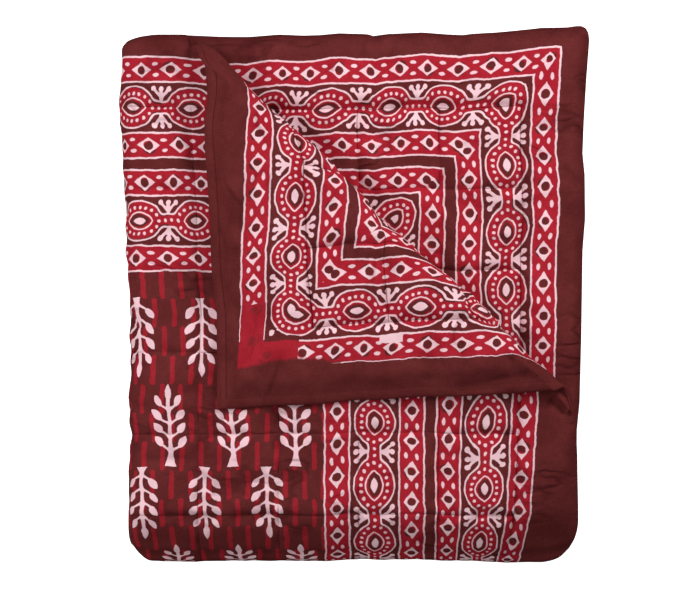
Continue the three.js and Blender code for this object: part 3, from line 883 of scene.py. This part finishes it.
def field_motif(across, along):
    """Rows of leafy sprigs, pointing up and down by turns, over rows of short red dashes."""
    pressed = (ROW_PRESS_AT - along).most(0.0) * ROW_PRESS
    row = (along + ROW_SHIFT - pressed - SPRIG_ROW_START) / SPRIG_LENGTH
    number = row.math("FLOOR")
    upward = number.math("FLOORED_MODULO", 2.0)
    share = row - number
    y = (share + (1.0 - upward) * (1.0 - share * 2.0)) * SPRIG_LENGTH
    first = upward * SPRIG_STAGGER + SPRIG_START
    column = (across - first + (along - SPRIG_LEAN_AT) * SPRIG_LEAN) / SPRIG_PITCH
    middle = column.math("ROUND")
    x = abs(column - middle) * SPRIG_PITCH
    printed = (middle * SPRIG_PITCH + first < SPRIG_LAST) * (along < SPRIG_TOP)
    foot = upward * (FOOT_LENGTH[1] - FOOT_LENGTH[0]) + FOOT_LENGTH[0]
    flare = (1.0 - y / foot).most(0.0)
    sprig = (x - flare * flare * FOOT_FLARE - STEM_HALF).most(y - STEM_TOP)
    start = upward * (LEAF_START[1] - LEAF_START[0]) + LEAF_START[0]
    pitch = upward * (LEAF_PITCH[1] - LEAF_PITCH[0]) + LEAF_PITCH[0]
    pair = ((y - x * LEAF_SHEAR - start) / pitch).math("ROUND").most(0.0).least(LEAF_PAIRS - 1.0)
    leaf_x = x * ((pair > LEAF_PAIRS - 1.5) * TOP_PAIR_IN + 1.0)
    leaf_y = y - start - pair * pitch
    sprig = sprig.math("SMOOTH_MIN", capsule(leaf_x, leaf_y, *LEAF_STALK), STALK_BLEND)
    off_x = leaf_x - LEAF_MIDDLE[0]
    off_y = leaf_y - LEAF_MIDDLE[1]
    leaf = almond(off_x * LEAF_DIRECTION[1] - off_y * LEAF_DIRECTION[0],
                  off_x * LEAF_DIRECTION[0] + off_y * LEAF_DIRECTION[1], *LEAF)
    sprig = sprig.least(leaf).least(almond(x, y - TIP_MIDDLE, *TIP))
    pink = inside(sprig) * printed
    line = (across - DASH_START[0]) / DASH_PITCH
    number = line.math("ROUND")
    place = (along - DASH_START[1]) / DASH_REPEAT + number * 0.5
    dash_y = abs(place - place.math("ROUND")) * DASH_REPEAT - DASH_STRAIGHT
    dash = length((line - number) * DASH_PITCH, dash_y.most(0.0)) - DASH_RADIUS
    return inside(dash) * DASH_INK, pink


def misprinted(red, pink, place, side, end, off_eye, flap):
    """The bands with their pink lines, and the faults of the turned-back corner.

    Where the block missed, the red is even and the pink is gone. Lines are thin there and at the worn side,
    one blot of pink covers a line, and the outer edge is smudged over in brown.
    """
    on_end = side > end
    on_eye = abs(off_eye) < EYE_WIDTH / 2
    missed = (side - MISSED_CORNER[0]).most(end - MISSED_CORNER[1]).most(side.least(end) - MISSED_DEPTH)
    missed = inside(missed) * flap
    red = (red * (missed * (MISSED_RED[1] - 1.0) + 1.0)).most(missed * on_eye * MISSED_RED[0])
    thin = missed.most(flap * (side < WORN_LINE)) * (1.0 - on_end * (1.0 - missed))
    line = inside(abs(abs(off_eye) - EYE_WIDTH / 2) - EDGE_LINE / 2 + thin * (THIN_LINE / 2))
    blot = inside((abs(side - BLOT[0]) - BLOT_HALF[0]).most(abs(end - BLOT[1]) - BLOT_HALF[1])) * flap
    line = line.most(blot)
    pink = (pink * (1.0 - missed)).most(line * (1.0 - missed * (side < MISSED_LINES)))
    smudge = (place.noise(*SMUDGE_NOISE) - 0.5) * SMUDGE
    covered = (end / COVERED_RISE).least((COVERED_END - end) / COVERED_FALL).least(1.0).most(0.0) * COVERED
    covered = (covered - side - smudge).math("MULTIPLY_ADD", 1.0 / SMUDGE_SOFTNESS, 0.5, clamp=True) * flap
    return red * (1.0 - covered), pink * (1.0 - covered * (end < COVERED_END))


def border_print(place, across, along, side, end, reverse):
    """Red and pink of the border, and where the field inside it is.

    From the outer line in: lozenges, a chain and lozenges, a plain stripe, and the same three again. Each
    is drawn by how far off its own middle line a place is, and by the repeats along it.
    """
    on_end = side > end
    run = side.most(end) + (place.noise(*DRIFT_NOISE) - 0.5) * PRINT_DRIFT
    from_stripe = side.least(end) - BANDS_MIDDLE
    inner = from_stripe > 0.0
    off_chain = abs(from_stripe) - CHAIN_MIDDLE
    period = SIDE_REPEAT + on_end * (END_REPEAT - SIDE_REPEAT)
    quarter = on_end + inner * 2.0 + (across > 0.0) * 4.0 + (along > 0.0) * 8.0 + reverse * 16.0

    chain_run = (run - CHAIN_FIRST - inner * reverse * (2.0 * CHAIN_MIDDLE)) / period
    chance = chain_run.math("ROUND").vector(quarter, 1.0).chances()
    red, pink = chain_motif(off_chain, chain_run, chance)
    on_chain = abs(off_chain) < CHAIN_WIDTH / 2
    red = red * on_chain
    pink = pink * on_chain

    off_eye = abs(off_chain) - EYE_MIDDLE
    past_chain = off_chain > 0.0
    eye_depth = (inner * 2.0 - 1.0) * (CHAIN_MIDDLE + (past_chain * 2.0 - 1.0) * EYE_MIDDLE) + BANDS_MIDDLE
    outermost = past_chain * (1.0 - inner)
    innermost = past_chain * inner * (1.0 - reverse)
    flap = reverse * (across > 0.0) * (along > 0.0)
    stagger = (1.0 - outermost) * EYE_STAGGER + innermost * (INNERMOST_STAGGER - EYE_STAGGER)
    eye_run = (run - eye_depth - stagger) / (period * 0.5) + flap * outermost * 0.5
    chance = eye_run.math("ROUND").vector(quarter + past_chain * 32.0, 2.0).chances()
    eye_red, eye_pink = eye_motif(off_eye, eye_run, chance)
    on_eye = abs(off_eye) < EYE_WIDTH / 2
    red = red.most(eye_red * on_eye)
    pink = pink.most(eye_pink * on_eye)
    red, pink = misprinted(red, pink, place, side, end, off_eye, flap)
    return red, pink, from_stripe > BANDS_MIDDLE


def seam_lines(place, across, along, reverse):
    """Distance to the nearest seam, and how hard its thread pulls, which sets how dark the painted shade
    along it is: in patches, and on the outermost lines.
    """
    by_column = from_line(across, COLUMN_PITCH, QUILT_COLUMNS) + (abs(along) > HALF_LENGTH - END_BORDER)
    by_row = from_line(along, ROW_PITCH, QUILT_ROWS) + (abs(across) > HALF_WIDTH - SIDE_BORDER)
    pulled = place.patches(SEAM_NOISE, SEAM_PATCH)
    outer = (abs(across) > OUTER_COLUMN).most(abs(along) > OUTER_ROW)
    return by_column.least(by_row), pulled.most(outer * reverse * OUTER_SEAM)


def printed_cotton():
    """Dark brown cotton block-printed in red and pale pink, with painted shade along its hem groove, seams
    and crinkles, bumps for the seams and crinkles, and a faint weave.
    """
    material = bpy.data.materials.new("printed_cotton")
    material.use_nodes = True
    tree = material.node_tree
    paper = Ink(tree)
    shader = tree.nodes["Principled BSDF"]
    place = paper.attribute("print")
    across, along, face = place.parts()
    side, end, from_edge = paper.attribute("edges").parts()
    reverse = face < 0.0
    wander_x, wander_y = place.noise(*WANDER_NOISE, 1).parts()[:2]
    wander_x = (wander_x - 0.5) * PRINT_WANDER
    wander_y = (wander_y - 0.5) * PRINT_WANDER
    red, pink, in_field = border_print(place, across, along, side + wander_x, end + wander_y, reverse)
    field_red, field_pink = field_motif(across + wander_x, along + wander_y)
    red = red.most(field_red * in_field)
    pink = pink.most(field_pink * in_field)

    cloth_across, cloth_along = paper.attribute("cloth").parts()[:2]
    seam, pulled = seam_lines(place, cloth_across, cloth_along, reverse)
    # Painted shade along the seams, strongest where the thread pulls
    painted_seam_shade = inside(seam - SEAM_LINE) * pulled
    groove = (1.0 - seam / SEAM_GROOVE).most(0.0)
    mottle = place.noise(*MOTTLE_NOISE)
    weave = place.stretched(THREADS_ALONG).noise(*THREAD_NOISE)
    weave = weave + place.stretched(THREADS_ACROSS).noise(*THREAD_NOISE)
    # Crinkles: a dent in the bump, and painted shade in their valleys in the colour
    drape = place.stretched(CRINKLE_PER_METRE).noise(*CRINKLE_NOISE)
    crinkle = (1.0 - abs(drape - 0.5) * CRINKLE_SHARP).most(0.0)
    crinkle = crinkle * place.patches(CRINKLED_NOISE, CRINKLED_PATCH)

    tone = ((mottle - 0.5) * MOTTLE_TONE + (weave - 1.0) * WEAVE_TONE).math("ADD", 0.5, clamp=True)
    brown = paper.blend(BROWN_DARK, BROWN_LIGHT, tone)
    cherry = paper.blend(RED_DARK, RED_LIGHT, tone)
    rose = paper.blend(PINK_DARK, PINK_LIGHT, tone)
    color = paper.blend(paper.blend(brown, cherry, red), rose, pink)
    at_end = abs(cloth_along) - abs(cloth_across) > HALF_LENGTH - HALF_WIDTH
    # Painted shade in the hem's stitched groove, weaker along the sides as the groove is
    hem_groove_shade = inside(abs(from_edge - HEM_WIDTH) - HEM_SHADE_LINE)
    hem_groove_shade = hem_groove_shade * (at_end * (1.0 - SIDE_GROOVE_SHARE) + SIDE_GROOVE_SHARE)
    # Painted shade: the hem's groove, the seams and the crinkles are blended towards the dark SHADED colour
    shade = (hem_groove_shade * HEM_SHADE).most(painted_seam_shade * SEAM_SHADE).most(crinkle * CRINKLE_SHADE)
    tree.links.new(paper.blend(color, SHADED, shade).socket, shader.inputs["Base Color"])
    height = weave * WEAVE_HEIGHT - groove * groove * SEAM_DEPTH - crinkle * CRINKLE_DEPTH
    bump = paper.node("ShaderNodeBump", {}, {"Height": height, "Strength": 1.0, "Distance": 1.0})
    tree.links.new(bump.socket, shader.inputs["Normal"])
    shader.inputs["Roughness"].default_value = COTTON_ROUGHNESS
    shader.inputs["Specular IOR Level"].default_value = 0.0
    return material


def white_board():
    """Matt white board with a glow of its own, so that it shows plain white."""
    material = bpy.data.materials.new("white_board")
    material.use_nodes = True
    shader = material.node_tree.nodes["Principled BSDF"]
    shader.inputs["Base Color"].default_value = BOARD_WHITE
    shader.inputs["Roughness"].default_value = 1.0
    shader.inputs["Specular IOR Level"].default_value = 0.0
    shader.inputs["Emission Color"].default_value = WHITE
    shader.inputs["Emission Strength"].default_value = FLOOR_GLOW
    return material


def add_object(name, data):
    """Puts data into the scene as an object at the origin."""
    piece = bpy.data.objects.new(name, data)
    bpy.context.scene.collection.objects.link(piece)
    return piece


def place_camera():
    """Straight above the packet, with the lens that gives the picture its width on the floor."""
    camera = bpy.data.cameras.new("camera")
    camera.sensor_width = SENSOR_WIDTH
    camera.lens = SENSOR_WIDTH * CAMERA_HEIGHT / PICTURE_WIDTH
    holder = add_object("camera", camera)
    holder.location = (*CAMERA_PLACE, CAMERA_HEIGHT)
    bpy.context.scene.camera = holder


def light_studio():
    """A pale room that is lit from above, and two large soft lamps: at the upper right and at the left."""
    world = bpy.data.worlds.new("studio")
    world.use_nodes = True
    background = world.node_tree.nodes["Background"]
    background.inputs["Color"].default_value = WHITE
    strength = (Ink(world.node_tree).node("ShaderNodeTexCoord", {}, {}).parts()[2] > 0.0) * ROOM_LIGHT
    world.node_tree.links.new(strength.socket, background.inputs["Strength"])
    bpy.context.scene.world = world
    bpy.context.scene.view_settings.view_transform = "Standard"
    for name, power, place in LAMPS:
        lamp = bpy.data.lights.new(name, "AREA")
        lamp.size = LAMP_SIZE
        lamp.energy = power
        holder = add_object(name, lamp)
        holder.location = place
        holder.rotation_euler = Vector(place).to_track_quat("Z", "Y").to_euler()


def lay_floor():
    """One large square under the packet, which throws no light back on it."""
    mesh = bpy.data.meshes.new("floor")
    half = FLOOR_SIZE / 2
    corners = [(-half, -half, 0.0), (half, -half, 0.0), (half, half, 0.0), (-half, half, 0.0)]
    mesh.from_pydata(corners, [], [(0, 1, 2, 3)])
    floor = add_object("floor", mesh)
    mesh.materials.append(white_board())
    floor.visible_diffuse = False


place_camera()
light_studio()
lay_floor()
cloth = add_object("comforter_cloth", comforter_mesh())
cloth.data.materials.append(printed_cotton())
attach(cloth, "root")
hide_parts("comforter")
